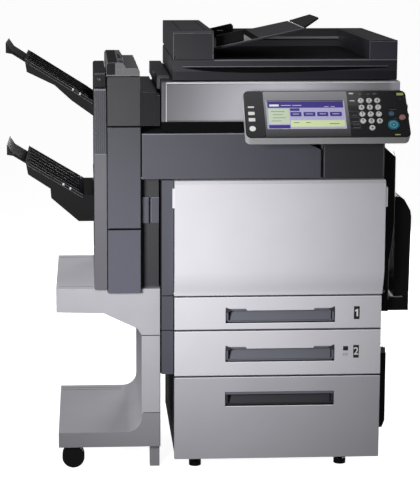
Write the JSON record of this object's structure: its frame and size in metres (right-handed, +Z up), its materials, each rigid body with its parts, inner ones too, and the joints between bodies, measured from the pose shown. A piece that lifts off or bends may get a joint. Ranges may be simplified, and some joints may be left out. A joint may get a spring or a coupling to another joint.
{
  "type": "floor-standing multifunction photocopier",
  "caption": "Floor-standing colour photocopier with a document feeder, tilting control panel, paper drawers, side bypass tray and a sorting finisher on a wheeled stand.",
  "frame": {"origin": "centre of the bounding box's bottom face, on the floor", "axes": "+X to the machine's right as seen from the front, +Y to its back, +Z up"},
  "size_m": [1.1174, 0.768, 1.2459],
  "materials": {
    "dark_cover": "satin",
    "silver_cover": "satin",
    "cabinet_paint": "satin",
    "black_plastic": "satin",
    "tray_grey": "satin",
    "feeder_cover": "satin",
    "frame_steel": "satin",
    "platen_glass": "polished",
    "belt": "satin",
    "panel_black": "gloss",
    "screen": "gloss",
    "key_plastic": "satin",
    "start_key": "gloss",
    "stop_key": "gloss",
    "stand_paint": "satin",
    "wheel_rubber": "matte"
  },
  "bodies": {
    "machine": {"chassis": "frame_steel", "side_covers": "dark_cover", "rear_cover": "dark_cover", "cabinet_shell": "cabinet_paint", "cabinet_feet": "black_plastic", "relay_unit": "dark_cover", "scanner_fascia": "silver_cover", "scanner_housing": "dark_cover", "platen_glass": "platen_glass", "toner_cartridges": "black_plastic", "imaging_units": "dark_cover", "transfer_belt": "belt", "fuser_unit": "frame_steel", "stand_shelf": "stand_paint", "stand_base": "stand_paint"},
    "front_door": {"front_door": "silver_cover"},
    "drawer_1": {"drawer_1_front": "silver_cover", "drawer_1_tray": "tray_grey"},
    "drawer_2": {"drawer_2_front": "silver_cover", "drawer_2_tray": "tray_grey"},
    "drawer_3": {"drawer_3_front": "silver_cover", "drawer_3_tray": "tray_grey"},
    "duplex_door": {"duplex_door": "black_plastic"},
    "bypass_tray": {"bypass_tray": "black_plastic"},
    "lower_side_door": {"lower_side_door": "black_plastic"},
    "scanner_carriage": {"scanner_carriage": "black_plastic"},
    "panel": {"panel_housing": "panel_black", "panel_screen": "screen"},
    "feeder": {"adf_base": "feeder_cover"},
    "feed_cover": {"adf_feed_cover": "feeder_cover"},
    "feed_tray": {"adf_feed_tray": "feeder_cover"},
    "guide_front": {"adf_guide_front": "black_plastic"},
    "guide_rear": {"adf_guide_rear": "black_plastic"},
    "tray_flap": {"adf_tray_flap": "black_plastic"},
    "finisher": {"finisher_body": "dark_cover", "upper_tray": "black_plastic"},
    "finisher_front_door": {"finisher_front_door": "dark_cover"},
    "finisher_top_cover": {"finisher_top_cover": "feeder_cover"},
    "upper_tray_extension": {"upper_tray_extension": "black_plastic"},
    "lower_tray": {"lower_tray": "black_plastic"},
    "lower_tray_extension": {"lower_tray_extension": "black_plastic"},
    "caster_fork_front": {"caster_fork_front": "black_plastic"},
    "caster_wheel_front": {"caster_wheel_front": "wheel_rubber"},
    "caster_fork_rear": {"caster_fork_rear": "black_plastic"},
    "caster_wheel_rear": {"caster_wheel_rear": "wheel_rubber"},
    "key_1": {"key_1": "key_plastic"},
    "key_2": {"key_2": "key_plastic"},
    "key_3": {"key_3": "key_plastic"},
    "key_4": {"key_4": "key_plastic"},
    "key_5": {"key_5": "key_plastic"},
    "key_6": {"key_6": "key_plastic"},
    "key_7": {"key_7": "key_plastic"},
    "key_8": {"key_8": "key_plastic"},
    "key_9": {"key_9": "key_plastic"},
    "key_star": {"key_star": "key_plastic"},
    "key_0": {"key_0": "key_plastic"},
    "key_hash": {"key_hash": "key_plastic"},
    "key_clear": {"key_clear": "key_plastic"},
    "key_start": {"key_start": "start_key"},
    "key_stop": {"key_stop": "stop_key"}
  },
  "joints": [
    {"name": "front_door_hinge", "type": "hinge", "parent": "machine", "child": "front_door", "pos_m": [0.18075, -0.247, 0.508], "axis": [1, 0, 0], "range_deg": [0, 75]},
    {"name": "drawer_1_slide", "type": "slide", "parent": "machine", "child": "drawer_1", "axis": [0, -1, 0], "range_m": [0, 0.38]},
    {"name": "drawer_2_slide", "type": "slide", "parent": "machine", "child": "drawer_2", "axis": [0, -1, 0], "range_m": [0, 0.38]},
    {"name": "drawer_3_slide", "type": "slide", "parent": "machine", "child": "drawer_3", "axis": [0, -1, 0], "range_m": [0, 0.38]},
    {"name": "duplex_door_hinge", "type": "hinge", "parent": "machine", "child": "duplex_door", "pos_m": [0.46875, 0.23, 0.67], "axis": [0, 0, 1], "range_deg": [0, 80]},
    {"name": "bypass_tray_hinge", "type": "hinge", "parent": "duplex_door", "child": "bypass_tray", "pos_m": [0.54575, 0.022, 0.484], "axis": [0, 1, 0], "range_deg": [0, 70]},
    {"name": "lower_side_door_hinge", "type": "hinge", "parent": "machine", "child": "lower_side_door", "pos_m": [0.46875, 0.23, 0.22], "axis": [0, 0, 1], "range_deg": [0, 80]},
    {"name": "scanner_carriage_slide", "type": "slide", "parent": "machine", "child": "scanner_carriage", "axis": [1, 0, 0], "range_m": [0, 0.5]},
    {"name": "panel_tilt", "type": "hinge", "parent": "machine", "child": "panel", "pos_m": [0.29075, -0.276, 1.004], "axis": [1, 0, 0], "range_deg": [0, 25]},
    {"name": "key_1_press", "type": "slide", "parent": "panel", "child": "key_1", "axis": [0, 0.7431, -0.6691], "range_m": [0, 0.0015], "stiffness_N_per_m": 400, "springref_m": -0.001},
    {"name": "key_2_press", "type": "slide", "parent": "panel", "child": "key_2", "axis": [0, 0.7431, -0.6691], "range_m": [0, 0.0015], "stiffness_N_per_m": 400, "springref_m": -0.001},
    {"name": "key_3_press", "type": "slide", "parent": "panel", "child": "key_3", "axis": [0, 0.7431, -0.6691], "range_m": [0, 0.0015], "stiffness_N_per_m": 400, "springref_m": -0.001},
    {"name": "key_4_press", "type": "slide", "parent": "panel", "child": "key_4", "axis": [0, 0.7431, -0.6691], "range_m": [0, 0.0015], "stiffness_N_per_m": 400, "springref_m": -0.001},
    {"name": "key_5_press", "type": "slide", "parent": "panel", "child": "key_5", "axis": [0, 0.7431, -0.6691], "range_m": [0, 0.0015], "stiffness_N_per_m": 400, "springref_m": -0.001},
    {"name": "key_6_press", "type": "slide", "parent": "panel", "child": "key_6", "axis": [0, 0.7431, -0.6691], "range_m": [0, 0.0015], "stiffness_N_per_m": 400, "springref_m": -0.001},
    {"name": "key_7_press", "type": "slide", "parent": "panel", "child": "key_7", "axis": [0, 0.7431, -0.6691], "range_m": [0, 0.0015], "stiffness_N_per_m": 400, "springref_m": -0.001},
    {"name": "key_8_press", "type": "slide", "parent": "panel", "child": "key_8", "axis": [0, 0.7431, -0.6691], "range_m": [0, 0.0015], "stiffness_N_per_m": 400, "springref_m": -0.001},
    {"name": "key_9_press", "type": "slide", "parent": "panel", "child": "key_9", "axis": [0, 0.7431, -0.6691], "range_m": [0, 0.0015], "stiffness_N_per_m": 400, "springref_m": -0.001},
    {"name": "key_star_press", "type": "slide", "parent": "panel", "child": "key_star", "axis": [0, 0.7431, -0.6691], "range_m": [0, 0.0015], "stiffness_N_per_m": 400, "springref_m": -0.001},
    {"name": "key_0_press", "type": "slide", "parent": "panel", "child": "key_0", "axis": [0, 0.7431, -0.6691], "range_m": [0, 0.0015], "stiffness_N_per_m": 400, "springref_m": -0.001},
    {"name": "key_hash_press", "type": "slide", "parent": "panel", "child": "key_hash", "axis": [0, 0.7431, -0.6691], "range_m": [0, 0.0015], "stiffness_N_per_m": 400, "springref_m": -0.001},
    {"name": "key_clear_press", "type": "slide", "parent": "panel", "child": "key_clear", "axis": [0, 0.7431, -0.6691], "range_m": [0, 0.0015], "stiffness_N_per_m": 400, "springref_m": -0.001},
    {"name": "key_start_press", "type": "slide", "parent": "panel", "child": "key_start", "axis": [0, 0.7431, -0.6691], "range_m": [0, 0.0015], "stiffness_N_per_m": 400, "springref_m": -0.001},
    {"name": "key_stop_press", "type": "slide", "parent": "panel", "child": "key_stop", "axis": [0, 0.7431, -0.6691], "range_m": [0, 0.0015], "stiffness_N_per_m": 400, "springref_m": -0.001},
    {"name": "feeder_hinge", "type": "hinge", "parent": "machine", "child": "feeder", "pos_m": [0.19575, 0.364, 1.098], "axis": [-1, 0, 0], "range_deg": [0, 60]},
    {"name": "feed_cover_hinge", "type": "hinge", "parent": "feeder", "child": "feed_cover", "pos_m": [-0.10225, 0.052, 1.146], "axis": [0, -1, 0], "range_deg": [0, 80]},
    {"name": "feed_tray_hinge", "type": "hinge", "parent": "feeder", "child": "feed_tray", "pos_m": [0.01075, 0.047, 1.156], "axis": [0, -1, 0], "range_deg": [0, 15]},
    {"name": "guide_front_slide", "type": "slide", "parent": "feed_tray", "child": "guide_front", "axis": [0, 1, 0], "range_m": [0, 0.1]},
    {"name": "guide_rear_slide", "type": "slide", "parent": "feed_tray", "child": "guide_rear", "axis": [0, 1, 0], "range_m": [-0.1, 0]},
    {"name": "tray_flap_hinge", "type": "hinge", "parent": "feed_tray", "child": "tray_flap", "pos_m": [0.26275, 0.042, 1.2225], "axis": [0, -1, 0], "range_deg": [0, 125]},
    {"name": "finisher_slide", "type": "slide", "parent": "machine", "child": "finisher", "axis": [-1, 0, 0], "range_m": [0, 0.1]},
    {"name": "finisher_front_door_hinge", "type": "hinge", "parent": "finisher", "child": "finisher_front_door", "pos_m": [-0.28025, -0.234, 0.825], "axis": [0, 0, -1], "range_deg": [0, 90]},
    {"name": "finisher_top_cover_hinge", "type": "hinge", "parent": "finisher", "child": "finisher_top_cover", "pos_m": [-0.24025, 0.242, 1.102], "axis": [-1, 0, 0], "range_deg": [0, 60]},
    {"name": "upper_tray_extension_slide", "type": "slide", "parent": "finisher", "child": "upper_tray_extension", "axis": [-0.8461, 0, 0.533], "range_m": [-0.04, 0.03]},
    {"name": "lower_tray_lift", "type": "slide", "parent": "finisher", "child": "lower_tray", "axis": [0, 0, 1], "range_m": [-0.12, 0]},
    {"name": "lower_tray_extension_slide", "type": "slide", "parent": "lower_tray", "child": "lower_tray_extension", "axis": [-0.8575, 0, 0.5145], "range_m": [-0.04, 0.03]},
    {"name": "caster_front_swivel", "type": "hinge", "parent": "machine", "child": "caster_fork_front", "pos_m": [-0.36625, -0.172, 0.066], "axis": [0, 0, 1], "continuous": true},
    {"name": "caster_front_roll", "type": "hinge", "parent": "caster_fork_front", "child": "caster_wheel_front", "pos_m": [-0.38225, -0.172, 0.031], "axis": [0, 1, 0], "continuous": true},
    {"name": "caster_rear_swivel", "type": "hinge", "parent": "machine", "child": "caster_fork_rear", "pos_m": [-0.36625, 0.204, 0.066], "axis": [0, 0, 1], "continuous": true},
    {"name": "caster_rear_roll", "type": "hinge", "parent": "caster_fork_rear", "child": "caster_wheel_rear", "pos_m": [-0.38225, 0.204, 0.031], "axis": [0, 1, 0], "continuous": true}
  ],
  "couplings": [
    {"joint": "guide_rear_slide", "follows": "guide_front_slide", "ratio": -1}
  ]
}
